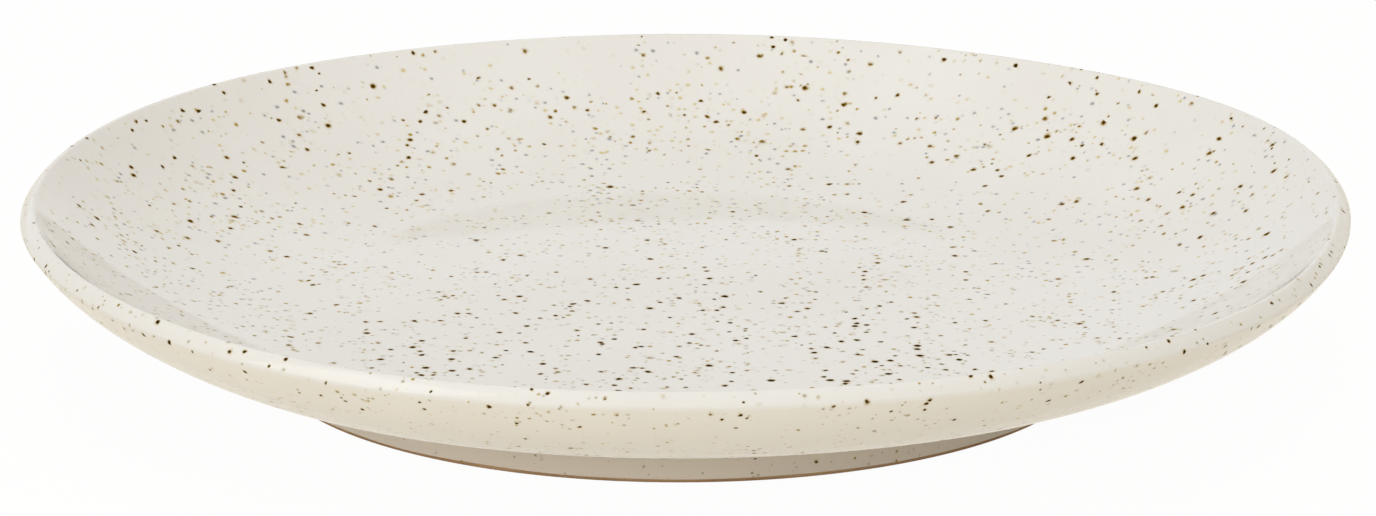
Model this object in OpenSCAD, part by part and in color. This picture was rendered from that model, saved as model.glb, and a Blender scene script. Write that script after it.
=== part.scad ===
// Dessert plate: a shallow stoneware dish with a full round lip, on a low foot ring.
// Fired clay under glaze, with the foot's standing face wiped bare. Millimetres, +Z up,
// turned about the Z axis, with the foot standing on Z = 0.

/* [Plate] */
// Outside diameter over the lip
plate_d = 200; // [150:1:260]
// Height of the lip above the table
plate_h = 24.9; // [20:0.1:40]
// Thickness of the finished wall and floor, with the glaze on both faces
wall_t = 4; // [3:0.1:6]

/* [Well] */
// Diameter of the flat floor inside the plate
floor_d = 110; // [80:1:120]
// Slope of the wall where it meets the lip, in degrees above level
rim_slope = 43; // [35:0.5:75]
// How far the wall keeps to the floor's level, as a share of the way from floor to lip
floor_pull = 0.52; // [0.2:0.01:0.6]
// How far the wall keeps to the lip's slope, as a share of the same way
rim_pull = 0.2; // [0.05:0.01:0.35]

/* [Foot] */
// Outside diameter of the foot ring
foot_d = 124.4; // [90:0.2:140]
// Depth of the hollow inside the foot ring
foot_h = 5.3; // [3:0.1:8]
// Width of the foot ring at the table, with the glaze on both sides
foot_w = 5; // [4:0.1:10]
// Lean of the foot ring's inner side, in degrees from upright
foot_lean = 12; // [0:1:25]
// Fillet where the foot ring meets the plate, outside and inside
foot_fillet = 1.2; // [0.4:0.1:2]
// Rounding of the foot ring's two lower edges
foot_edge = 0.5; // [0.2:0.05:0.8]

/* [Glaze] */
// Thickness of the glaze
glaze_t = 0.4; // [0.2:0.05:0.8]
// Height of bare clay between the foot's rounded edge and the glaze
bare_h = 0.1; // [0.05:0.05:0.8]

/* [Hidden] */

// Colours of the fired pieces
clay_colour = [0.66, 0.55, 0.46];
glaze_colour = [0.90, 0.88, 0.83];

// Steps along the wall, around the lip and around a fillet, and sides of a full turn
wall_steps = 24;
lip_steps = 16;
fillet_steps = 6;
turn_sides = 180;

// Lip, a full round that joins the inside of the wall to its outside
lip_r = wall_t / 2;
lip_centre = [plate_d / 2 - lip_r, plate_h - lip_r];

// Well curve, from the edge of the flat floor to the inside of the lip
floor_z = foot_h + wall_t;
well_low = [floor_d / 2, floor_z];
well_high = lip_centre + lip_r * [-sin(rim_slope), cos(rim_slope)];
well_reach = norm(well_high - well_low);
well_low_pull = well_low + floor_pull * well_reach * [1, 0];
well_high_pull = well_high - rim_pull * well_reach * [cos(rim_slope), sin(rim_slope)];

// Foot ring, and the height at which the glaze stops above the table
foot_r = foot_d / 2;
hollow_r = foot_r - foot_w;
glaze_z = foot_edge + bare_h;

// Path the other way round
function backwards(path) = [for (i = [len(path) - 1 : -1 : 0]) path[i]];

// Unit vector from one point to another
function heading(from, to) = (to - from) / norm(to - from);

// Vector a quarter turn to the right. Every outline below has the clay on its right.
function right_of(v) = [v[1], -v[0]];

// Path moved into the clay by a distance, with mitred corners
function inset(path, distance) =
    let (last = len(path) - 1)
    [
        for (i = [0 : last])
            let (
                a = right_of(heading(path[max(i, 1) - 1], path[max(i, 1)])),
                b = right_of(heading(path[min(i, last - 1)], path[min(i, last - 1) + 1]))
            )
            path[i] + distance * (a + b) / (1 + a * b)
    ];

// Arc that rounds the corner at c, on the way from a to b
function corner(a, c, b, radius) =
    let (
        u = heading(c, a),
        v = heading(c, b),
        half = acos(u * v) / 2,
        centre = c + radius / sin(half) * heading([0, 0], u + v),
        start = c + radius / tan(half) * u - centre,
        turn = (180 - 2 * half) * sign(u[1] * v[0] - u[0] * v[1]),
        first = atan2(start[1], start[0])
    )
    [
        for (i = [0 : fillet_steps])
            let (angle = first + turn * i / fillet_steps)
            centre + radius * [cos(angle), sin(angle)]
    ];

// Point on the well curve, from 0 at the floor to 1 at the lip
function well(t) =
    pow(1 - t, 3) * well_low
    + 3 * t * pow(1 - t, 2) * well_low_pull
    + 3 * t * t * (1 - t) * well_high_pull
    + pow(t, 3) * well_high;

// Way that the well curve runs at t
function well_heading(t) =
    heading([0, 0],
        pow(1 - t, 2) * (well_low_pull - well_low)
        + 2 * t * (1 - t) * (well_high_pull - well_low_pull)
        + t * t * (well_high - well_high_pull));

// Point on the outside of the wall, square through the wall from the well curve
function outside(t) = well(t) + wall_t * right_of(well_heading(t));

// Place along the wall where its outside is at a radius, found by halving
function place_at(radius, low = 0, high = 1, halvings = 30) =
    let (middle = (low + high) / 2)
    halvings == 0 ? middle
    : outside(middle)[0] < radius ? place_at(radius, middle, high, halvings - 1)
    : place_at(radius, low, middle, halvings - 1);

// Point on the outside of the wall, or of the flat floor, at a radius
function outside_at(radius) = [radius, outside(place_at(radius))[1]];

// Finished face of the glaze coat: floor, well, lip, outside of the wall, foot
foot_join = outside_at(foot_r);
foot_approach = outside_at(foot_r + 2 * foot_fillet);
approach_t = place_at(foot_approach[0]);
coat_end = [foot_r, glaze_z];
coat_face = concat(
    [[0, floor_z]],
    [for (i = [0 : wall_steps]) well(i / wall_steps)],
    [
        for (i = [1 : lip_steps])
            let (angle = 90 + rim_slope - 180 * i / lip_steps)
            lip_centre + lip_r * [cos(angle), sin(angle)]
    ],
    [for (i = [1 : wall_steps]) outside(1 + (approach_t - 1) * i / wall_steps)],
    corner(foot_approach, foot_join, coat_end, foot_fillet),
    [coat_end]
);

// Finished face of the base glaze: inner side of the foot, hollow under the floor
hollow_low = [hollow_r - glaze_z * tan(foot_lean), glaze_z];
hollow_join = [hollow_r - foot_h * tan(foot_lean), foot_h];
base_face = concat(
    [hollow_low],
    corner(hollow_low, hollow_join, [0, foot_h], foot_fillet),
    [[0, foot_h]]
);

// Clay faces under the two coats, and the bare foot between them
coat_bed = inset(coat_face, glaze_t);
base_bed = inset(base_face, glaze_t);
coat_foot = coat_bed[len(coat_bed) - 1];
base_foot = base_bed[0];
stand_out = [coat_foot[0], 0];
stand_in = [hollow_r + glaze_t / cos(foot_lean), 0];
bare_foot = concat(
    corner(coat_foot, stand_out, stand_in, foot_edge),
    corner(stand_out, stand_in, base_foot, foot_edge)
);

// Outline turned about the Z axis
module turned(outline) {
    rotate_extrude($fn = turn_sides)
        polygon(outline);
}

// Fired stoneware: floor, wall, lip and foot ring in one piece
module clay_body() {
    color(clay_colour)
        turned(concat(coat_bed, bare_foot, base_bed));
}

// Glaze over the well, the lip and the outside, down to the bare foot
module glaze_coat() {
    color(glaze_colour)
        turned(concat(coat_face, backwards(coat_bed)));
}

// Glaze in the hollow inside the foot ring
module base_glaze() {
    color(glaze_colour)
        turned(concat(base_face, backwards(base_bed)));
}

clay_body();
glaze_coat();
base_glaze();
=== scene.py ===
"""Dessert plate of wheel-turned stoneware in a speckled cream glaze, dressed in a plain white studio.

Each piece is an outline turned about the plate's axis, with the little unevenness that a hand leaves in
the rim. Lengths are in metres. Turns are measured from the front of the plate, towards the right.
"""
import logging
import math
from dataclasses import dataclass
from enum import Enum
from typing import ClassVar

import bpy
import numpy as np
from mathutils import Matrix, Vector, noise

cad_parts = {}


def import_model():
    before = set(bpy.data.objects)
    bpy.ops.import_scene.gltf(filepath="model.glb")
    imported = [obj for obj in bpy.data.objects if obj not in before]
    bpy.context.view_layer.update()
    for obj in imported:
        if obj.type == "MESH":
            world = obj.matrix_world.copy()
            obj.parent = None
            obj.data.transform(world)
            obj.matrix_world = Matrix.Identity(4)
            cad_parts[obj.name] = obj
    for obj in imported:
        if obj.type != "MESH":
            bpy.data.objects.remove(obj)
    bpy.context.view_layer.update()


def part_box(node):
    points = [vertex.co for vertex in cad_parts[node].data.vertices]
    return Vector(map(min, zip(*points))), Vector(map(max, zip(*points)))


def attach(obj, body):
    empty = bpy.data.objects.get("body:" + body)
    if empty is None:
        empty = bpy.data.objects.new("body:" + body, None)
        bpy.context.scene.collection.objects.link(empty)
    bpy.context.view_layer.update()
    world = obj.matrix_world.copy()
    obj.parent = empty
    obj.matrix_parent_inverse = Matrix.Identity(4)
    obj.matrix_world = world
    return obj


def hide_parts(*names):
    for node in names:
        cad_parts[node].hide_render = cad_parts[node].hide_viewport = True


MM = 0.001
BODY = "root"
BAKE_MAP = "OFBake"
MAP_MIDDLE = (0.5, 0.5)
MAP_CORNER = (0.915, 0.915)
CORNER_SIZE = 0.08
FULL_SIZE = 0.49
TINY = 1e-7

Colour = tuple[float, float, float]

WHITE: Colour = (1.0, 1.0, 1.0)

log = logging.getLogger("dessert_plate")


class Slot(Enum):
    """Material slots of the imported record."""

    CLAY = "fired_clay"
    GLAZE = "speckled_glaze"


class Solid(Enum):
    """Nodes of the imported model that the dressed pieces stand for."""

    CLAY_BODY = "clay_body"
    GLAZE_COAT = "glaze_coat"
    BASE_GLAZE = "base_glaze"


def point(radius: float, height: float) -> np.ndarray:
    """Point of an outline, as radius from the axis and height above the table."""
    return np.array([radius, height])


def unit(vector: np.ndarray) -> np.ndarray:
    """Vector, or each row of vectors, at length 1."""
    return vector / np.linalg.norm(vector, axis=-1, keepdims=True)


def right_of(heading: np.ndarray) -> np.ndarray:
    """Vector, or each row of vectors, a quarter turn to the right."""
    return np.stack([heading[..., 1], -heading[..., 0]], axis=-1)


def inset(path: np.ndarray, distance: float) -> np.ndarray:
    """Moves a path to its right by a distance, with mitred corners.

    Args:
        path: points of the path, one a row.
        distance: how far each stretch of the path moves.

    Returns:
        The moved path, with as many points.
    """
    sides = right_of(unit(np.diff(path, axis=0)))
    before = np.vstack([sides[:1], sides])
    after = np.vstack([sides, sides[-1:]])
    mitre = (before + after) / (1.0 + np.sum(before * after, axis=1, keepdims=True))
    return path + distance * mitre


def rounded(
    before: np.ndarray, corner: np.ndarray, after: np.ndarray, radius: float, steps: int
) -> np.ndarray:
    """Arc that rounds a corner.

    Args:
        before: a point on the way to the corner.
        corner: the sharp corner.
        after: a point on the way from the corner.
        radius: radius of the arc.
        steps: straight steps along the arc.

    Returns:
        Points of the arc, in order.
    """
    come = unit(before - corner)
    leave = unit(after - corner)
    half = math.acos(float(np.dot(come, leave))) / 2.0
    centre = corner + radius / math.sin(half) * unit(come + leave)
    start = corner + radius / math.tan(half) * come - centre
    bend = math.copysign(math.pi - 2.0 * half, come[1] * leave[0] - come[0] * leave[1])
    angles = math.atan2(start[1], start[0]) + bend * np.linspace(0.0, 1.0, steps + 1)
    return centre + radius * np.stack([np.cos(angles), np.sin(angles)], axis=1)


@dataclass(frozen=True)
class PlateForm:
    """Finished outline of the plate, and the sizes that it is drawn from."""

    radius: float
    height: float
    glaze: float
    glaze_line: float
    hollow_depth: float
    wall: float = 4.0 * MM
    floor_radius: float = 55.0 * MM
    rim_slope: float = math.radians(43.0)
    floor_pull: float = 0.52
    rim_pull: float = 0.2
    foot_radius: float = 62.2 * MM
    foot_width: float = 5.0 * MM
    foot_lean: float = math.radians(12.0)
    foot_fillet: float = 1.2 * MM
    foot_edge: float = 0.5 * MM
    bead: float = 0.25 * MM
    lip_edge: float = 0.7 * MM
    lip_bow: float = 5.9 * MM
    lip_bend: float = math.radians(10.0)
    lip_taper: float = math.radians(12.0)
    floor_steps: int = 10
    wall_steps: int = 48
    lip_steps: int = 13
    fillet_steps: int = 10
    side_steps: int = 4
    bead_steps: int = 6
    search_steps: int = 2000

    @classmethod
    def from_frame(cls) -> "PlateForm":
        """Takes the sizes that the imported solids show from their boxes.

        Returns:
            The form that the dressed pieces follow.
        """
        coat_low, coat_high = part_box(Solid.GLAZE_COAT.value)
        clay_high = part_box(Solid.CLAY_BODY.value)[1]
        base_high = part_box(Solid.BASE_GLAZE.value)[1]
        glaze = coat_high.x - clay_high.x
        return cls(
            radius=coat_high.x,
            height=coat_high.z,
            glaze=glaze,
            glaze_line=coat_low.z,
            hollow_depth=base_high.z - glaze,
        )

    @property
    def rim_heading(self) -> np.ndarray:
        """Way that the wall runs where it meets the lip."""
        return point(math.cos(self.rim_slope), math.sin(self.rim_slope))

    @property
    def floor_height(self) -> float:
        """Height of the flat floor inside the plate."""
        return self.hollow_depth + self.wall

    @property
    def hollow_radius(self) -> float:
        """Radius of the hollow inside the foot, at the table."""
        return self.foot_radius - self.foot_width

    def lip(self) -> np.ndarray:
        """Face over the lip: a tight edge inside, a slightly bowed face and a tight edge outside.

        Returns:
            Points from the top of the well to the outside of the wall.
        """
        inner = self.rim_slope + math.pi / 2.0
        outer = self.rim_slope - math.pi / 2.0 + self.lip_taper
        turns = (inner, self.rim_slope + self.lip_bend, self.rim_slope - self.lip_bend, outer)
        path = np.zeros((1, 2))
        for radius, start, end in zip((self.lip_edge, self.lip_bow, self.lip_edge), turns, turns[1:]):
            angles = np.linspace(start, end, self.lip_steps + 1)
            arc = radius * np.stack([np.cos(angles), np.sin(angles)], axis=1)
            path = np.vstack([path, path[-1] + arc[1:] - arc[0]])
        return path + point(self.radius, self.height) - path.max(axis=0)

    def well_points(self) -> np.ndarray:
        """Four points that steer the well curve, from the floor's edge to the inside of the lip.

        Returns:
            Start, two pulls and end, one a row.
        """
        low = point(self.floor_radius, self.floor_height)
        high = self.lip()[0]
        reach = float(np.linalg.norm(high - low))
        low_pull = low + point(self.floor_pull * reach, 0.0)
        high_pull = high - self.rim_pull * reach * self.rim_heading
        return np.stack([low, low_pull, high_pull, high])

    def well(self, along: np.ndarray) -> np.ndarray:
        """Points on the well curve.

        Args:
            along: places on the curve, from 0 at the floor to 1 at the lip.

        Returns:
            The points, one a row.
        """
        a, b, c, d = self.well_points()
        t = along[:, None]
        return (1 - t) ** 3 * a + 3 * t * (1 - t) ** 2 * b + 3 * t * t * (1 - t) * c + t ** 3 * d

    def thickness(self, along: np.ndarray) -> np.ndarray:
        """Thickness of the wall, which tapers to the lip.

        Args:
            along: places on the well curve, from 0 at the floor to 1 at the lip.

        Returns:
            The thickness at each place.
        """
        lip = self.lip()
        end = lip[-1] - lip[0]
        taper = math.tan(self.lip_taper)
        thin = float(end @ right_of(self.rim_heading) + taper * (end @ self.rim_heading))
        run = 2.0 * (self.wall - thin) / taper
        pull, high = self.well_points()[2:]
        gone = 3.0 * np.linalg.norm(high - pull) * (1.0 - along)
        return self.wall - (self.wall - thin) * np.clip(1.0 - gone / run, 0.0, 1.0) ** 2

    def outside(self, along: np.ndarray) -> np.ndarray:
        """Points on the outside of the wall, square through the wall from the well curve.

        Args:
            along: places on the well curve, from 0 at the floor to 1 at the lip.

        Returns:
            The points, one a row.
        """
        a, b, c, d = self.well_points()
        t = along[:, None]
        heading = (1 - t) ** 2 * (b - a) + 2 * t * (1 - t) * (c - b) + t * t * (d - c)
        return self.well(along) + self.thickness(along)[:, None] * right_of(unit(heading))

    def place_at(self, radius: float) -> float:
        """Place on the well curve where the outside of the wall is at a radius."""
        along = np.linspace(0.0, 1.0, self.search_steps + 1)
        return float(np.interp(radius, self.outside(along)[:, 0], along))

    def floor_and_well(self) -> np.ndarray:
        """Face from the middle of the floor to the inside of the lip."""
        radii = np.linspace(0.0, self.floor_radius, self.floor_steps + 1)[:-1]
        floor = np.stack([radii, np.full_like(radii, self.floor_height)], axis=1)
        return np.vstack([floor, self.well(np.linspace(0.0, 1.0, self.wall_steps + 1))])

    def lip_to_foot(self) -> np.ndarray:
        """Face from the lip's first step to the glaze line on the foot, which is left as a sharp edge.

        Returns:
            Points over the lip, down the outside of the wall and down the foot.
        """
        lip = self.lip()[1:]
        approach = self.place_at(self.foot_radius + 2.0 * self.foot_fillet)
        wall = self.outside(np.linspace(1.0, approach, self.wall_steps + 1)[1:])
        join = self.outside(np.array([self.place_at(self.foot_radius)]))[0]
        end = point(self.foot_radius, self.glaze_line)
        fillet = rounded(wall[-1], join, end, self.foot_fillet, self.fillet_steps)
        side = np.linspace(fillet[-1], end, self.side_steps + 1)[1:]
        return np.vstack([lip, wall, fillet, side])

    def hollow(self) -> np.ndarray:
        """Face from the glaze line inside the foot to the middle of the hollow."""
        lean = math.tan(self.foot_lean)
        low = point(self.hollow_radius - self.glaze_line * lean, self.glaze_line)
        join = point(self.hollow_radius - self.hollow_depth * lean, self.hollow_depth)
        middle = point(0.0, self.hollow_depth)
        fillet = rounded(low, join, middle, self.foot_fillet, self.fillet_steps)
        ceiling = np.linspace(fillet[-1], middle, self.floor_steps)[1:]
        return np.vstack([low, fillet, ceiling])

    def bare_foot(self, outer: np.ndarray, inner: np.ndarray) -> np.ndarray:
        """Standing edge of the foot, from the clay under the outer glaze to the clay under the inner one.

        Args:
            outer: end of the clay's face under the outer glaze.
            inner: start of the clay's face under the inner glaze.

        Returns:
            Points round the edge, without the two ends.
        """
        stand_out = point(outer[0], 0.0)
        stand_in = point(self.hollow_radius + self.glaze / math.cos(self.foot_lean), 0.0)
        first = rounded(outer, stand_out, stand_in, self.foot_edge, self.fillet_steps)
        last = rounded(stand_out, stand_in, inner, self.foot_edge, self.fillet_steps)
        return np.vstack([first, last])


@dataclass(frozen=True)
class RimWave:
    """One slow wave round the rim: how many crests it has, their size, and the turn of one of them."""

    crests: int
    size: float
    turn: float

    def at(self, turns: np.ndarray) -> np.ndarray:
        """Size of the wave at turns in radians."""
        return self.size * np.cos(self.crests * (turns - math.radians(self.turn)))


@dataclass(frozen=True)
class HandWaver:
    """Unevenness of a plate that is turned by hand: a wavy rim, gentle dents and a wandering glaze line."""

    form: PlateForm
    rim_lift: tuple[RimWave, ...] = (
        RimWave(1, 0.15 * MM, -150.0),
        RimWave(2, 0.35 * MM, -58.0),
        RimWave(3, 0.15 * MM, -7.0),
        RimWave(4, 0.40 * MM, 25.0),
        RimWave(5, 0.10 * MM, -13.0),
        RimWave(6, 0.10 * MM, -8.0),
    )
    rim_spread: tuple[RimWave, ...] = (
        RimWave(1, 0.35 * MM, 85.0),
        RimWave(2, 0.40 * MM, 33.0),
        RimWave(3, 0.25 * MM, -7.0),
        RimWave(4, 0.40 * MM, -33.0),
        RimWave(5, 0.45 * MM, 28.0),
        RimWave(6, 0.40 * MM, -11.0),
    )
    rim_reach: float = 1.3
    dent: float = 0.015 * MM
    dent_length: float = 22.0 * MM
    dent_start: float = 0.25
    line_rise: float = 0.12 * MM
    line_length: float = 14.0 * MM
    line_reach: float = 2.0 * MM

    def place(self, path: np.ndarray, turns: np.ndarray) -> np.ndarray:
        """Turns an outline about the axis and adds the unevenness.

        Args:
            path: points of the outline, one a row.
            turns: turns at which the outline is placed, in radians.

        Returns:
            Places in space, indexed by outline point, turn and axis.
        """
        radius, height = (path[:, k, None] for k in (0, 1))
        foot = self.form.foot_radius
        out = np.clip((radius - foot) / (self.form.radius - foot), 0.0, 1.0)
        share = out ** self.rim_reach
        lift = sum(wave.at(turns) for wave in self.rim_lift)
        spread = sum(wave.at(turns) for wave in self.rim_spread)
        wide = radius + share * spread[None]
        high = height + share * lift[None]
        high = high + self.dents(radius, height, turns) + self.glaze_rise(radius, height, turns)
        return np.stack([wide * np.sin(turns), -wide * np.cos(turns), high], axis=-1)

    def dents(self, radius: np.ndarray, height: np.ndarray, turns: np.ndarray) -> np.ndarray:
        """Shallow dents of the turned clay, none at the table.

        Args:
            radius: radii of the outline, as a column.
            height: heights of the outline, as a column.
            turns: turns in radians.

        Returns:
            Lift of each place.
        """
        fade = np.clip(height / self.form.hollow_depth - self.dent_start, 0.0, 1.0)
        lift = np.zeros((len(radius), len(turns)))
        for i, (r, z) in enumerate(zip(radius[:, 0], height[:, 0])):
            for j, turn in enumerate(turns):
                place = Vector((r * math.sin(turn), -r * math.cos(turn), z)) / self.dent_length
                lift[i, j] = noise.noise(place)
        return self.dent * fade * lift

    def glaze_rise(self, radius: np.ndarray, height: np.ndarray, turns: np.ndarray) -> np.ndarray:
        """Rise of the wiped glaze line round the foot.

        Args:
            radius: radii of the outline, as a column.
            height: heights of the outline, as a column.
            turns: turns in radians.

        Returns:
            Lift of each place, which fades out above the line and is none on the bare edge.
        """
        at_foot = (radius <= self.form.foot_radius + MM) & (radius > self.form.hollow_radius - 2.0 * MM)
        above = height - self.form.glaze_line
        fade = np.where(above > -0.01 * MM, np.clip(1.0 - above / self.line_reach, 0.0, 1.0), 0.0)
        ring = self.form.foot_radius / self.line_length
        line = [noise.noise(Vector((ring * math.sin(t), ring * math.cos(t), 0.5))) for t in turns]
        return self.line_rise * np.where(at_foot, fade, 0.0) * np.clip(0.5 + np.array(line), 0.0, 1.0)


@dataclass(frozen=True)
class Chart:
    """Round patch of the bake map that takes a run of strips, from one ring of it to another."""

    first: int
    last: int
    start: float
    end: float
    centre: tuple[float, float] = MAP_MIDDLE


@dataclass(frozen=True)
class Turning:
    """Closed outline of a piece, turned about the axis into a mesh.

    It has the solid on its right, and starts and ends on the axis or runs round in a ring. Its face is a
    run of its points, and the rest is a bed that other pieces hide.
    """

    name: str
    outline: np.ndarray
    waver: HandWaver
    face: tuple[int, int]
    charts: tuple[Chart, ...]
    before: np.ndarray | None = None
    after: np.ndarray | None = None
    sides: int = 288
    sharp: float = math.radians(40.0)

    def turns(self) -> np.ndarray:
        """Turns of the sides in radians."""
        return np.arange(self.sides) * 2.0 * math.pi / self.sides

    def on_axis(self, ring: int) -> bool:
        """Whether a point of the outline lies on the axis."""
        return bool(self.outline[ring, 0] < TINY)

    def strips(self) -> list[tuple[int, int]]:
        """Pairs of neighbouring points of the outline that a strip of faces joins."""
        count = len(self.outline)
        pairs = [(i, i + 1) for i in range(count - 1)]
        if not self.on_axis(0):
            pairs.append((count - 1, 0))
        return [(a, b) for a, b in pairs if not (self.on_axis(a) and self.on_axis(b))]

    def face_normals(self, places: np.ndarray) -> np.ndarray:
        """Normals of the seen face, smooth across its ends where a neighbour goes on.

        Args:
            places: places in space of the whole outline.

        Returns:
            Normals indexed as the places, and zero off the face.
        """
        first, last = self.face
        rows = [places[first:last + 1]]
        if self.before is not None:
            rows.insert(0, self.waver.place(self.before[None], self.turns()))
        if self.after is not None:
            rows.append(self.waver.place(self.after[None], self.turns()))
        grid = np.concatenate(rows)
        steps = np.diff(grid, axis=0)
        lengths = np.linalg.norm(steps, axis=-1, keepdims=True)
        ways = steps / lengths
        middle = ways[1:] * lengths[:-1] + ways[:-1] * lengths[1:]
        along = np.concatenate([ways[:1], middle, ways[-1:]])
        around = np.roll(grid, -1, axis=1) - np.roll(grid, 1, axis=1)
        quarter = self.sides // 4
        for end, shift in ((0, -quarter), (-1, quarter)):
            if np.abs(around[end]).max() < TINY:
                around[end] = np.roll(along[end], shift, axis=0)
        normals = np.zeros_like(places)
        skip = 0 if self.before is None else 1
        made = unit(np.cross(along, around))
        normals[first:last + 1] = made[skip:skip + last + 1 - first]
        return normals

    def chart_of(self, strip: int) -> Chart:
        """Chart that a strip is laid out on."""
        return next(chart for chart in self.charts if chart.first <= strip < chart.last)

    def rings_of(self, strip: int) -> tuple[float, float]:
        """Rings of its chart between which a strip lies, by length along the outline."""
        chart = self.chart_of(strip)
        closed = np.vstack([self.outline, self.outline[:1]])
        run = np.linalg.norm(np.diff(closed[chart.first:chart.last + 1], axis=0), axis=1)
        gone = np.concatenate([[0.0], np.cumsum(run)]) / np.sum(run)
        ring = chart.start + (chart.end - chart.start) * gone
        return float(ring[strip - chart.first]), float(ring[strip - chart.first + 1])

    def build(self) -> bpy.types.Object:
        """Makes the closed mesh, with its bake map and normals.

        Returns:
            The new object, linked to the scene.
        """
        turns = self.turns()
        places = self.waver.place(self.outline, turns)
        normals = self.face_normals(places)
        starts: list[int] = []
        corners: list[tuple[float, float, float]] = []
        for ring, row in enumerate(places):
            starts.append(len(corners))
            row = row.mean(axis=0, keepdims=True) if self.on_axis(ring) else row
            corners.extend(tuple(float(v) for v in place) for place in row)
        faces: list[tuple[int, ...]] = []
        uvs: list[float] = []
        bent: list[np.ndarray] = []
        first, last = self.face
        for a, b in self.strips():
            centre = self.chart_of(a).centre
            inner, outer = self.rings_of(a)
            hand = 1.0 if outer > inner else -1.0
            seen = first <= a < last
            for j in range(self.sides):
                k = j + 1
                loop = [(a, j, inner), (b, j, outer), (b, k, outer), (a, k, inner)]
                if self.on_axis(b):
                    loop.pop(2)
                if self.on_axis(a):
                    loop.pop()
                face = []
                for ring, side, reach in loop:
                    turn = 2.0 * math.pi * side / self.sides
                    side = side % self.sides
                    face.append(starts[ring] + (0 if self.on_axis(ring) else side))
                    uvs.append(centre[0] + hand * reach * math.sin(turn))
                    uvs.append(centre[1] - reach * math.cos(turn))
                    bent.append(normals[ring, side] if seen else np.zeros(3))
                faces.append(tuple(face))
        mesh = bpy.data.meshes.new(self.name)
        mesh.from_pydata(corners, [], faces)
        mesh.uv_layers.new(name=BAKE_MAP).data.foreach_set("uv", uvs)
        mesh.polygons.foreach_set("use_smooth", [True] * len(faces))
        mesh.set_sharp_from_angle(angle=self.sharp)
        mesh.normals_split_custom_set([tuple(float(v) for v in n) for n in bent])
        mesh.update()
        piece = bpy.data.objects.new(self.name, mesh)
        bpy.context.scene.collection.objects.link(piece)
        return piece


def thinned(path: np.ndarray, step: int = 4) -> np.ndarray:
    """Every few points of a hidden path, with both ends kept."""
    keep = sorted(set(range(0, len(path), step)) | {len(path) - 1})
    return path[keep]


class NodeSheet:
    """Lays shader nodes in one tree, with links and plain values by socket name."""

    def __init__(self, tree: bpy.types.NodeTree) -> None:
        """Starts on a tree with nothing in it."""
        self.tree = tree
        tree.nodes.clear()

    def add(self, kind: str, inputs: dict | None = None, **settings: object) -> bpy.types.Node:
        """Adds a node.

        Args:
            kind: Blender's name of the node type, without its first word.
            inputs: links and values for its sockets, by name or number.
            settings: properties of the node.

        Returns:
            The new node.
        """
        node = self.tree.nodes.new("ShaderNode" + kind)
        for name, value in settings.items():
            setattr(node, name, value)
        self.feed(node, inputs or {})
        return node

    def feed(self, node: bpy.types.Node, inputs: dict) -> None:
        """Links or sets the sockets of a node.

        Args:
            node: the node to feed.
            inputs: links and values for its sockets, by name or number.
        """
        for key, value in inputs.items():
            if isinstance(value, bpy.types.NodeSocket):
                self.tree.links.new(value, node.inputs[key])
            elif isinstance(value, tuple) and node.inputs[key].type == "RGBA":
                node.inputs[key].default_value = (*value, 1.0)
            else:
                node.inputs[key].default_value = value

    def math(self, operation: str, a: object, b: object = 0.0) -> bpy.types.NodeSocket:
        """Result of a sum on one or two values."""
        return self.add("Math", {0: a, 1: b}, operation=operation).outputs[0]

    def vector(self, operation: str, a: object, b: object) -> bpy.types.NodeSocket:
        """Result of a sum on two vectors."""
        return self.add("VectorMath", {0: a, 1: b}, operation=operation).outputs[0]

    def product(self, first: object, *others: object) -> bpy.types.NodeSocket:
        """Values multiplied together."""
        for other in others:
            first = self.math("MULTIPLY", first, other)
        return first

    def scaled(self, vector: object, factor: object) -> bpy.types.NodeSocket:
        """Vector multiplied by a factor."""
        return self.add("VectorMath", {0: vector, "Scale": factor}, operation="SCALE").outputs[0]

    def ramp(
        self, value: object, low: object, high: object, start: object, end: object
    ) -> bpy.types.NodeSocket:
        """Smooth change from start to end while a value goes from low to high."""
        sockets = {"Value": value, 1: low, 2: high, 3: start, 4: end}
        return self.add("MapRange", sockets, interpolation_type="SMOOTHSTEP").outputs[0]

    def blend(self, share: object, below: object, above: object) -> bpy.types.NodeSocket:
        """Colour with another laid over it by a share."""
        return self.add("Mix", {0: share, 6: below, 7: above}, data_type="RGBA").outputs[2]

    def noise(self, place: object, scale: float, detail: float) -> bpy.types.Node:
        """Soft noise through the material, with a number of crests to the metre."""
        return self.add("TexNoise", {"Vector": place, "Scale": scale, "Detail": detail})


class Effect:
    """Shader node group that more than one finish uses."""

    title = "effect"
    sockets_in: tuple[tuple[str, str, object], ...] = ()
    sockets_out: tuple[str, ...] = ()

    def __init__(self) -> None:
        """Builds the group once, with its named sockets."""
        self.group = bpy.data.node_groups.new(self.title, "ShaderNodeTree")
        face = self.group.interface
        for name, kind, value in self.sockets_in:
            socket = face.new_socket(name=name, in_out="INPUT", socket_type="NodeSocket" + kind)
            if value is not None:
                socket.default_value = value
        for name in self.sockets_out:
            face.new_socket(name=name, in_out="OUTPUT", socket_type="NodeSocketFloat")
        sheet = NodeSheet(self.group)
        given = self.group.nodes.new("NodeGroupInput").outputs
        result = self.group.nodes.new("NodeGroupOutput")
        sheet.feed(result, self.lay(sheet, given))

    def lay(self, sheet: NodeSheet, given: bpy.types.NodeOutputs) -> dict:
        """Lays the group's nodes.

        Args:
            sheet: the group's tree.
            given: the group's inputs.

        Returns:
            A socket for each of the group's outputs.
        """
        raise NotImplementedError

    def on(self, sheet: NodeSheet, inputs: dict) -> bpy.types.NodeOutputs:
        """Places the group in a material.

        Args:
            sheet: the material's tree.
            inputs: links and values for the group's inputs.

        Returns:
            The placed group's outputs.
        """
        return sheet.add("Group", inputs, node_tree=self.group).outputs


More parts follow.
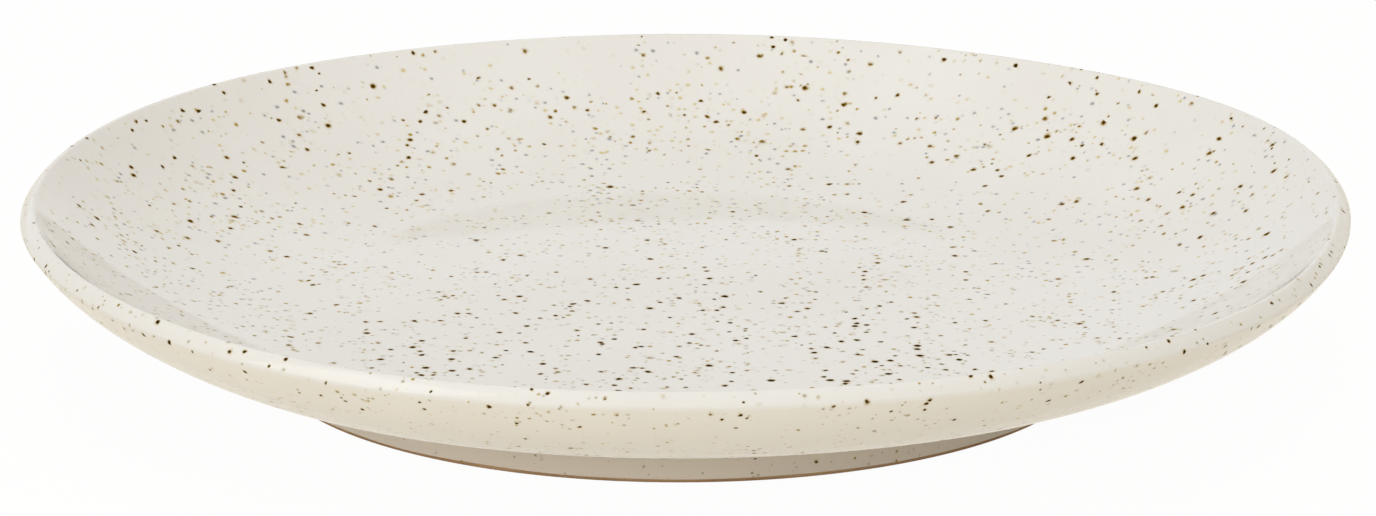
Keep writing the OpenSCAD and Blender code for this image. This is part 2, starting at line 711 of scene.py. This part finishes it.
class SpeckScatter(Effect):
    """Grains through the material, each with a core and a melted halo, cut where the surface meets them."""

    title = "speck_scatter"
    sockets_in = (
        ("Place", "Vector", None),
        ("Per Metre", "Float", 500.0),
        ("Share", "Float", 0.3),
        ("Size", "Float", 0.2),
        ("Edge", "Float", 0.4),
        ("Halo", "Float", 2.0),
        ("Waver", "Float", 0.3),
    )
    sockets_out = ("Core", "Halo", "Chance")

    def lay(self, sheet: NodeSheet, given: bpy.types.NodeOutputs) -> dict:
        """Lays cells with one grain in each, and keeps a share of them.

        Args:
            sheet: the group's tree.
            given: the group's inputs.

        Returns:
            Masks of the cores and halos, and a value that differs from grain to grain.
        """
        place = sheet.scaled(given["Place"], given["Per Metre"])
        drift = sheet.noise(place, 1.9, 1.0).outputs["Color"]
        drift = sheet.scaled(sheet.vector("SUBTRACT", drift, (0.5, 0.5, 0.5)), given["Waver"])
        cells = sheet.add("TexVoronoi", {"Vector": sheet.vector("ADD", place, drift), "Scale": 1.0})
        away = cells.outputs["Distance"]
        drawn = sheet.add("SeparateColor", {0: cells.outputs["Color"]}).outputs
        kept = sheet.math("LESS_THAN", drawn[1], given["Share"])
        lot = sheet.math("MULTIPLY_ADD", drawn[0], 0.6)
        lot.node.inputs[2].default_value = 0.4
        size = sheet.product(given["Size"], lot)
        firm = sheet.product(size, sheet.math("SUBTRACT", 1.0, given["Edge"]))
        core = sheet.ramp(away, firm, size, 1.0, 0.0)
        halo = sheet.ramp(away, firm, sheet.product(size, given["Halo"]), 1.0, 0.0)
        return {
            "Core": sheet.product(core, kept),
            "Halo": sheet.product(halo, kept),
            "Chance": drawn[2],
        }


class SurfaceGrain(Effect):
    """Slow clouds and fine grain of a fired surface."""

    title = "surface_grain"
    sockets_in = (
        ("Place", "Vector", None),
        ("Clouds Per Metre", "Float", 30.0),
        ("Grains Per Metre", "Float", 400.0),
    )
    sockets_out = ("Cloud", "Grain")

    def lay(self, sheet: NodeSheet, given: bpy.types.NodeOutputs) -> dict:
        """Lays two noises of different size.

        Args:
            sheet: the group's tree.
            given: the group's inputs.

        Returns:
            The slow noise and the fine one.
        """
        cloud = sheet.noise(sheet.scaled(given["Place"], given["Clouds Per Metre"]), 1.0, 3.0)
        grain = sheet.noise(sheet.scaled(given["Place"], given["Grains Per Metre"]), 1.0, 2.0)
        return {"Cloud": cloud.outputs[0], "Grain": grain.outputs[0]}


@dataclass(frozen=True)
class Effects:
    """Node groups that the finishes share."""

    specks: SpeckScatter
    grain: SurfaceGrain


@dataclass(frozen=True)
class Grains:
    """One kind of grain: how closely its cells lie, how many are kept, and how large they are."""

    apart: float
    share: float
    radius: float
    edge: float
    halo: float
    waver: float

    def on(
        self, sheet: NodeSheet, specks: SpeckScatter, place: object, crowd: object = 1.0, size: object = 1.0
    ) -> bpy.types.NodeOutputs:
        """Scatters the grains in a material.

        Args:
            sheet: the material's tree.
            specks: the scatter group.
            place: where the surface is, in metres.
            crowd: how crowded the grains are there, where 1 is usual.
            size: how large they are there, where 1 is usual.

        Returns:
            The scatter's outputs.
        """
        inputs = {
            "Place": place,
            "Per Metre": 1.0 / self.apart,
            "Share": sheet.product(crowd, self.share),
            "Size": sheet.product(size, self.radius / self.apart),
            "Edge": self.edge,
            "Halo": self.halo,
            "Waver": self.waver,
        }
        return specks.on(sheet, inputs)


@dataclass(frozen=True)
class Change:
    """Smooth change from start to end while a value goes from low to high."""

    low: float
    high: float
    start: float = 0.0
    end: float = 1.0

    def on(self, sheet: NodeSheet, value: object) -> bpy.types.NodeSocket:
        """The change in a material, steered by a value."""
        return sheet.ramp(value, self.low, self.high, self.start, self.end)


def over(start: float, end: float) -> Change:
    """Change from start to end across a whole mask."""
    return Change(0.0, 1.0, start, end)


@dataclass(frozen=True)
class Drifts:
    """Where the glaze's grains crowd: in loose drifts, and more or less so by region.

    The regions come first, by the place and slope of the surface, and then what changes in them.
    """

    thickest: tuple[float, float, float] = (4.0 * MM, -34.0 * MM, 9.0 * MM)
    drift_scale: float = 110.0
    drift: Change = Change(0.36, 0.64, 0.45, 1.55)
    border: Change = Change(87.0 * MM, 93.0 * MM, 1.0, 0.6)
    lip: Change = Change(95.5 * MM, 97.5 * MM)
    under: Change = Change(0.0, 0.45, 1.0, 0.0)
    near: Change = Change(25.0 * MM, 65.0 * MM, 1.0, 0.0)
    foot: Change = Change(63.0 * MM, 66.0 * MM, 1.0, 0.0)
    front: Change = Change(-25.0 * MM, 25.0 * MM, 1.0, 0.0)
    small_under: Change = over(1.1, 1.3)
    small_near: Change = over(1.0, 0.65)
    spots_on_slope: Change = Change(0.90, 0.99, 1.3, 0.65)
    spots_on_lip: float = 5.8
    spots_near: float = 2.2
    spots_under: Change = over(1.0, 0.85)
    spots_on_foot: Change = over(1.0, 0.7)
    size_outside: Change = over(1.0, 0.76)
    size_on_foot: Change = over(1.0, 0.75)
    size_near: Change = over(1.0, 1.08)

    def on(self, sheet: NodeSheet, place: object, facing: object) -> dict[str, bpy.types.NodeSocket]:
        """Lays the drifts and the regions in a material.

        Args:
            sheet: the material's tree.
            place: where the surface is, in metres.
            facing: the surface's own normal.

        Returns:
            The crowds of the small grains and of the spots, the size of all, the darkness of the spots,
            and masks of the front half and of the foot.
        """
        flat = sheet.vector("MULTIPLY", place, (1.0, 1.0, 0.0))
        out = sheet.add("VectorMath", {0: flat}, operation="LENGTH").outputs["Value"]
        up = sheet.add("SeparateXYZ", {0: facing}).outputs[2]
        depth = sheet.add("SeparateXYZ", {0: place}).outputs[1]
        away = sheet.add("VectorMath", {0: place, 1: self.thickest}, operation="DISTANCE").outputs["Value"]
        drift = self.drift.on(sheet, sheet.noise(place, self.drift_scale, 2.0).outputs[0])
        border = self.border.on(sheet, out)
        lip = self.lip.on(sheet, out)
        under = self.under.on(sheet, up)
        near = sheet.product(self.near.on(sheet, away), sheet.math("SUBTRACT", 1.0, under))
        foot = sheet.product(self.foot.on(sheet, out), under)
        small = sheet.product(border, self.small_under.on(sheet, under), self.small_near.on(sheet, near))
        large = sheet.product(border, self.spots_on_slope.on(sheet, up))
        large = sheet.math("ADD", large, sheet.product(lip, self.spots_on_lip))
        large = sheet.math("ADD", large, sheet.product(near, self.spots_near))
        large = sheet.product(large, self.spots_under.on(sheet, under), self.spots_on_foot.on(sheet, foot))
        size = self.size_outside.on(sheet, sheet.math("MAXIMUM", lip, under))
        size = sheet.product(size, self.size_on_foot.on(sheet, foot), self.size_near.on(sheet, near))
        return {
            "small": sheet.product(small, drift),
            "large": sheet.product(large, drift),
            "size": size,
            "dark": sheet.math("MAXIMUM", sheet.math("MAXIMUM", near, lip), under),
            "front": self.front.on(sheet, depth),
            "foot": foot,
        }


@dataclass(frozen=True)
class GlazeFinish:
    """Glossy cream glaze over stoneware, with iron that has melted into spots, flecks and dust.

    The gloss is a clear coat. It is open where iron has burst through, so the spots stay dull and dark.
    """

    title: str = "speckled_glaze"
    cream: Colour = (0.79, 0.760, 0.702)
    pale: Colour = (0.81, 0.785, 0.732)
    # The thin tone is painted light: a warmer, lighter colour that stands in for the floor's warm bounce
    # light on the shaded foot.
    thin: Colour = (0.85, 0.76, 0.65)
    tan: Colour = (0.60, 0.46, 0.10)
    olive: Colour = (0.30, 0.22, 0.05)
    blue_grey: Colour = (0.21, 0.225, 0.235)
    gold: Colour = (0.46, 0.31, 0.02)
    brown: Colour = (0.14, 0.085, 0.003)
    rust: Colour = (0.19, 0.10, 0.002)
    iron: Colour = (0.040, 0.019, 0.001)
    spots: Grains = Grains(2.2 * MM, 0.32, 0.74 * MM, 0.85, 1.4, 0.30)
    flecks: Grains = Grains(1.5 * MM, 0.25, 0.46 * MM, 0.7, 1.5, 0.35)
    deep: Grains = Grains(1.4 * MM, 0.27, 0.54 * MM, 0.75, 2.0, 0.3)
    dust: Grains = Grains(1.25 * MM, 0.22, 0.53 * MM, 0.8, 2.0, 0.3)
    drifts: Drifts = Drifts()
    dust_halo: float = 0.12
    dust_core: float = 0.75
    deep_halo: float = 0.07
    deep_core: float = 0.80
    fleck_halo: float = 0.60
    spot_halo: float = 0.80
    spot_ring: Change = Change(0.05, 0.60)
    spot_heart: Change = over(0.58, 0.30)
    heart_edge: float = 0.4
    clouds: float = 28.0
    cloud: Change = Change(0.35, 0.65)
    ripples: float = 420.0
    peel: float = 0.02 * MM
    peel_strength: float = 0.5
    gloss: float = 0.05
    rough: Change = Change(0.3, 0.7, 0.05, 0.09)
    burst_rough: float = 0.5
    open_fringe: float = 0.8

    def material(self, effects: Effects) -> bpy.types.Material:
        """Makes the glaze.

        Args:
            effects: node groups that the finishes share.

        Returns:
            The new material.
        """
        made = bpy.data.materials.new(self.title)
        made.use_nodes = True
        sheet = NodeSheet(made.node_tree)
        here = sheet.add("TexCoord").outputs
        place = here["Object"]
        crowd = self.drifts.on(sheet, place, here["Normal"])
        spots = self.spots.on(sheet, effects.specks, place, crowd["large"], crowd["size"])
        flecks, deep, dust = (
            kind.on(sheet, effects.specks, place, crowd["small"], crowd["size"])
            for kind in (self.flecks, self.deep, self.dust)
        )
        grain = effects.grain.on(sheet, {
            "Place": place,
            "Clouds Per Metre": self.clouds,
            "Grains Per Metre": self.ripples,
        })
        colour = sheet.blend(self.cloud.on(sheet, grain["Cloud"]), self.cream, self.pale)
        # Painted bounce light: the glazed foot takes the warmer, lighter thin tone in place of the floor's
        # warm bounce light in the plate's shade.
        colour = sheet.blend(crowd["foot"], colour, self.thin)
        sunk = (
            (dust, self.tan, self.dust_halo, self.dust_core),
            (deep, self.blue_grey, self.deep_halo, self.deep_core),
        )
        for grains, tone, halo, core in sunk:
            tone = sheet.blend(crowd["front"], tone, self.olive)
            colour = sheet.blend(sheet.product(grains["Halo"], halo), colour, tone)
            colour = sheet.blend(sheet.product(grains["Core"], core), colour, tone)
        melt = sheet.blend(flecks["Chance"], self.gold, self.brown)
        colour = sheet.blend(sheet.product(flecks["Halo"], self.fleck_halo), colour, self.gold)
        colour = sheet.blend(flecks["Core"], colour, melt)
        ring = self.spot_ring.on(sheet, spots["Core"])
        soft = self.spot_heart.on(sheet, crowd["dark"])
        heart = sheet.ramp(spots["Core"], soft, sheet.math("ADD", soft, self.heart_edge), 0.0, 1.0)
        colour = sheet.blend(sheet.product(spots["Halo"], self.spot_halo), colour, self.gold)
        colour = sheet.blend(ring, colour, self.rust)
        colour = sheet.blend(heart, colour, self.iron)
        burst = sheet.math("MAXIMUM", ring, flecks["Core"])
        fringe = sheet.math("MAXIMUM", spots["Halo"], flecks["Halo"])
        open_coat = sheet.math("MAXIMUM", burst, sheet.product(fringe, self.open_fringe))
        rough = self.rough.on(sheet, grain["Grain"])
        rough = sheet.math("ADD", rough, sheet.product(burst, self.burst_rough))
        height = sheet.math("SUBTRACT", grain["Grain"], heart)
        bump = sheet.add("Bump", {"Strength": self.peel_strength, "Distance": self.peel, "Height": height})
        shader = sheet.add("BsdfPrincipled", {
            "Base Color": colour,
            "Roughness": rough,
            "Specular IOR Level": 0.0,
            "Coat Weight": sheet.math("SUBTRACT", 1.0, open_coat),
            "Coat Roughness": self.gloss,
            "Coat IOR": 1.5,
            "Normal": bump.outputs[0],
        })
        sheet.add("OutputMaterial", {"Surface": shader.outputs[0]})
        return made


@dataclass(frozen=True)
class ClayFinish:
    """Bare fired stoneware where the foot is wiped: dry, buff, with fine grog and a few iron grains."""

    title: str = "fired_clay"
    buff: Colour = (0.56, 0.365, 0.20)
    toasted: Colour = (0.44, 0.265, 0.135)
    grog: Colour = (0.55, 0.43, 0.33)
    iron: Colour = (0.05, 0.03, 0.02)
    specks: Grains = Grains(1.6 * MM, 0.35, 0.22 * MM, 0.5, 1.8, 0.35)
    specks_shown: float = 0.8
    clouds: float = 60.0
    cloud: Change = Change(0.35, 0.65)
    grains: float = 2600.0
    grog_shown: Change = Change(0.55, 0.75, 0.0, 0.5)
    tooth: float = 0.08 * MM
    tooth_strength: float = 0.6
    rough: Change = Change(0.3, 0.7, 0.78, 0.93)

    def material(self, effects: Effects) -> bpy.types.Material:
        """Makes the bare clay.

        Args:
            effects: node groups that the finishes share.

        Returns:
            The new material.
        """
        made = bpy.data.materials.new(self.title)
        made.use_nodes = True
        sheet = NodeSheet(made.node_tree)
        place = sheet.add("TexCoord").outputs["Object"]
        grain = effects.grain.on(sheet, {
            "Place": place,
            "Clouds Per Metre": self.clouds,
            "Grains Per Metre": self.grains,
        })
        iron = self.specks.on(sheet, effects.specks, place)
        colour = sheet.blend(self.cloud.on(sheet, grain["Cloud"]), self.buff, self.toasted)
        colour = sheet.blend(self.grog_shown.on(sheet, grain["Grain"]), colour, self.grog)
        colour = sheet.blend(sheet.product(iron["Core"], self.specks_shown), colour, self.iron)
        rough = self.rough.on(sheet, grain["Grain"])
        bump = sheet.add("Bump", {
            "Strength": self.tooth_strength,
            "Distance": self.tooth,
            "Height": grain["Grain"],
        })
        shader = sheet.add("BsdfPrincipled", {
            "Base Color": colour,
            "Roughness": rough,
            "Normal": bump.outputs[0],
        })
        sheet.add("OutputMaterial", {"Surface": shader.outputs[0]})
        return made


@dataclass(frozen=True)
class Ware:
    """Pieces of one finish, turned from the plate's form by the same hand."""

    form: PlateForm
    waver: HandWaver
    slot: ClassVar[Slot] = Slot.GLAZE
    solid: ClassVar[Solid] = Solid.GLAZE_COAT

    def turnings(self) -> list[Turning]:
        """Lays out the pieces."""
        raise NotImplementedError

    def build(self, finishes: dict[Slot, bpy.types.Material]) -> list[bpy.types.Object]:
        """Makes the pieces, and gives each its finish and its place in the frame.

        Args:
            finishes: materials of the plate, by slot.

        Returns:
            The new pieces.
        """
        pieces = [turning.build() for turning in self.turnings()]
        for piece in pieces:
            piece.data.materials.append(finishes[self.slot])
            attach(piece, BODY)
            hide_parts(self.solid.value)
        return pieces


class GlazeCoat(Ware):
    """Glaze over the well, the lip and the outside, in two pieces that meet unseen inside the lip."""

    def turnings(self) -> list[Turning]:
        """Lays out the inside, and the outside with a bead at the glaze line.

        Returns:
            Both pieces.
        """
        well = self.form.floor_and_well()
        wall = self.form.lip_to_foot()
        bed = inset(np.vstack([well, wall]), self.form.glaze)
        inside = np.vstack([well, thinned(bed[:len(well)])[::-1]])
        last = len(well) - 1
        charts = (
            Chart(0, last, start=0.0, end=FULL_SIZE),
            Chart(last, len(inside) - 1, start=CORNER_SIZE, end=0.0, centre=MAP_CORNER),
        )
        first_piece = Turning("glaze_inside", inside, self.waver, (0, last), charts, after=wall[0])
        bead = rounded(wall[-2], wall[-1], bed[-1], self.form.bead, self.form.bead_steps)
        face = np.vstack([well[-1:], wall[:-1], bead])
        outside = np.vstack([face, thinned(bed[len(well) - 1:])[::-1]])
        last = len(face) - 1
        charts = (
            Chart(0, last, start=FULL_SIZE, end=0.22),
            Chart(last, len(outside), start=0.06, end=0.20),
        )
        second_piece = Turning("glaze_outside", outside, self.waver, (0, last), charts, before=well[-2])
        return [first_piece, second_piece]


class BaseGlaze(Ware):
    """Glaze in the hollow inside the foot."""

    solid = Solid.BASE_GLAZE

    def turnings(self) -> list[Turning]:
        """Lays out the hollow's glaze, with a bead at the glaze line.

        Returns:
            The piece, alone in a list.
        """
        hollow = self.form.hollow()
        bed = inset(hollow, self.form.glaze)
        bead = rounded(bed[0], hollow[0], hollow[1], self.form.bead, self.form.bead_steps)
        under = thinned(bed)[::-1]
        outline = np.vstack([under, bead, hollow[1:]])
        first, last = len(under), len(outline) - 1
        charts = (
            Chart(0, first, start=0.0, end=CORNER_SIZE, centre=MAP_CORNER),
            Chart(first, last, start=FULL_SIZE, end=0.0),
        )
        return [Turning("glaze_base", outline, self.waver, (first, last), charts)]


class ClayBody(Ware):
    """Fired stoneware under the glaze, bare on the foot's standing edge."""

    slot = Slot.CLAY
    solid = Solid.CLAY_BODY

    def turnings(self) -> list[Turning]:
        """Lays out the clay.

        Returns:
            The piece, alone in a list.
        """
        coat = np.vstack([self.form.floor_and_well(), self.form.lip_to_foot()])
        upper = thinned(inset(coat, self.form.glaze), 2)
        lower = thinned(inset(self.form.hollow(), self.form.glaze), 2)
        bare = self.form.bare_foot(upper[-1], lower[0])
        outline = np.vstack([upper, bare, lower])
        first = len(upper) - 1
        last = len(upper) + len(bare)
        charts = (
            Chart(0, first, start=0.0, end=CORNER_SIZE, centre=MAP_CORNER),
            Chart(first, last, start=FULL_SIZE, end=0.30),
            Chart(last, len(outline) - 1, start=0.28, end=0.0),
        )
        return [Turning("clay_foot_and_body", outline, self.waver, (first, last), charts)]


@dataclass(frozen=True)
class Softbox:
    """Soft square light, placed by its turn from the front, its height in degrees and its distance."""

    name: str
    turn: float
    rise: float
    distance: float
    width: float
    tall: float
    power: float
    tint: Colour = WHITE
    mirrored: bool = False

    def build(self, aim: Vector) -> bpy.types.Object:
        """Hangs the light.

        Args:
            aim: what it shines at.

        Returns:
            The new light.
        """
        light = bpy.data.lights.new(self.name, "AREA")
        light.shape = "RECTANGLE"
        light.size = self.width
        light.size_y = self.tall
        light.energy = self.power
        light.color = self.tint
        made = bpy.data.objects.new(self.name, light)
        made.visible_glossy = self.mirrored
        turn, rise = math.radians(self.turn), math.radians(self.rise)
        back = Vector((math.sin(turn) * math.cos(rise), -math.cos(turn) * math.cos(rise), math.sin(rise)))
        made.location = aim + self.distance * back
        made.rotation_euler = back.to_track_quat("Z", "Y").to_euler()
        bpy.context.scene.collection.objects.link(made)
        return made


@dataclass(frozen=True)
class Studio:
    """White studio: a pale floor, soft lights all round, and the camera."""

    softboxes: tuple[Softbox, ...] = (
        Softbox("softbox_left", -68.0, 48.0, 1.3, 0.70, 0.60, 1.8, mirrored=True),
        Softbox("softbox_side", -95.0, 38.0, 1.6, 1.30, 0.90, 4.0),
        Softbox("softbox_low_front", 0.0, 12.0, 1.6, 2.20, 0.70, 6.8, (0.97, 0.985, 1.0)),
        Softbox("softbox_low_left", -50.0, 14.0, 1.6, 1.40, 0.70, 6.4),
        Softbox("softbox_front_right", 48.0, 38.0, 1.6, 1.30, 0.90, 7.7),
        Softbox("softbox_low_right", 100.0, 14.0, 1.6, 1.40, 0.70, 1.8, (1.0, 0.84, 0.62)),
        Softbox("softbox_top", 0.0, 90.0, 1.5, 1.20, 1.20, 8.4),
        Softbox("softbox_back", 180.0, 65.0, 1.6, 1.40, 0.90, 5.2, (1.0, 0.985, 0.95)),
    )
    right_tint: Colour = (1.0, 0.90, 0.76)
    floor_size: float = 6.0
    floor_colour: Colour = (0.95, 0.90, 0.77)
    floor_mirror: Colour = (0.88, 0.835, 0.745)
    whiteness: float = 0.97
    aim: tuple[float, float, float] = (1.06 * MM, 0.0, 15.99 * MM)
    rise: float = 16.1
    distance: float = 1.5
    roll: float = -0.06
    lens: float = 262.1

    def build(self) -> None:
        """Sets up the whole studio."""
        self.make_floor()
        self.make_world()
        for softbox in self.softboxes:
            softbox.build(Vector(self.aim))
        self.make_camera()
        bpy.context.scene.view_settings.view_transform = "Standard"

    def seen(self, sheet: NodeSheet) -> bpy.types.NodeSocket:
        """Share of a ray that sees the white background: camera, glossy and transmission rays do."""
        path = sheet.add("LightPath").outputs
        shiny = sheet.math("MAXIMUM", path["Is Glossy Ray"], path["Is Transmission Ray"])
        return sheet.math("MAXIMUM", path["Is Camera Ray"], shiny)

    def make_floor(self) -> bpy.types.Object:
        """Lays the floor, which the eye sees white, and the glaze mirrors in a warmer tone.

        Returns:
            The floor.
        """
        mesh = bpy.data.meshes.new("studio_floor")
        half = self.floor_size / 2.0
        corners = [(-half, -half, 0.0), (half, -half, 0.0), (half, half, 0.0), (-half, half, 0.0)]
        mesh.from_pydata(corners, [], [(0, 1, 2, 3)])
        floor = bpy.data.objects.new("studio_floor", mesh)
        bpy.context.scene.collection.objects.link(floor)
        made = bpy.data.materials.new("studio_floor")
        made.use_nodes = True
        sheet = NodeSheet(made.node_tree)
        share = sheet.product(self.seen(sheet), self.whiteness)
        matt = sheet.add("BsdfDiffuse", {"Color": self.floor_colour})
        direct = sheet.add("LightPath").outputs["Is Camera Ray"]
        tone = sheet.blend(direct, self.floor_mirror, WHITE)
        shown = sheet.add("Emission", {"Color": tone, "Strength": 1.0})
        both = sheet.add("MixShader", {0: share, 1: matt.outputs[0], 2: shown.outputs[0]})
        sheet.add("OutputMaterial", {"Surface": both.outputs[0]})
        mesh.materials.append(made)
        return floor

    def make_world(self) -> None:
        """Makes the room white to the eye, and a little warmer on the right where the glaze mirrors it."""
        world = bpy.data.worlds.new("studio_light")
        world.use_nodes = True
        sheet = NodeSheet(world.node_tree)
        way = sheet.add("SeparateXYZ", {0: sheet.add("TexCoord").outputs["Generated"]}).outputs
        direct = sheet.add("LightPath").outputs["Is Camera Ray"]
        tint = sheet.blend(sheet.ramp(way[0], -0.2, 1.0, 0.0, 1.0), WHITE, self.right_tint)
        tint = sheet.blend(direct, tint, WHITE)
        room = sheet.add("Background", {"Color": tint, "Strength": self.seen(sheet)})
        sheet.add("OutputWorld", {"Surface": room.outputs[0]})
        bpy.context.scene.world = world

    def make_camera(self) -> bpy.types.Object:
        """Sets up the camera at the photograph's angle.

        Returns:
            The scene's camera.
        """
        lens = bpy.data.cameras.new("studio_camera")
        lens.sensor_fit = "HORIZONTAL"
        lens.sensor_width = 36.0
        lens.lens = self.lens
        camera = bpy.data.objects.new("studio_camera", lens)
        rise = math.radians(self.rise)
        back = Vector((0.0, -math.cos(rise), math.sin(rise)))
        look = back.to_track_quat("Z", "Y").to_matrix().to_4x4()
        place = Matrix.Translation(Vector(self.aim) + self.distance * back)
        camera.matrix_world = place @ look @ Matrix.Rotation(math.radians(self.roll), 4, "Z")
        bpy.context.scene.collection.objects.link(camera)
        bpy.context.scene.camera = camera
        return camera


def main() -> None:
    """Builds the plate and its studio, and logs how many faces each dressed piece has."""
    logging.basicConfig(level=logging.INFO, format="%(name)s: %(message)s")
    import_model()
    form = PlateForm.from_frame()
    waver = HandWaver(form)
    effects = Effects(SpeckScatter(), SurfaceGrain())
    finishes = {Slot.GLAZE: GlazeFinish().material(effects), Slot.CLAY: ClayFinish().material(effects)}
    for ware in (ClayBody(form, waver), GlazeCoat(form, waver), BaseGlaze(form, waver)):
        for piece in ware.build(finishes):
            log.info("%s has %d faces", piece.name, len(piece.data.polygons))
    Studio().build()


if __name__ == "__main__":
    main()
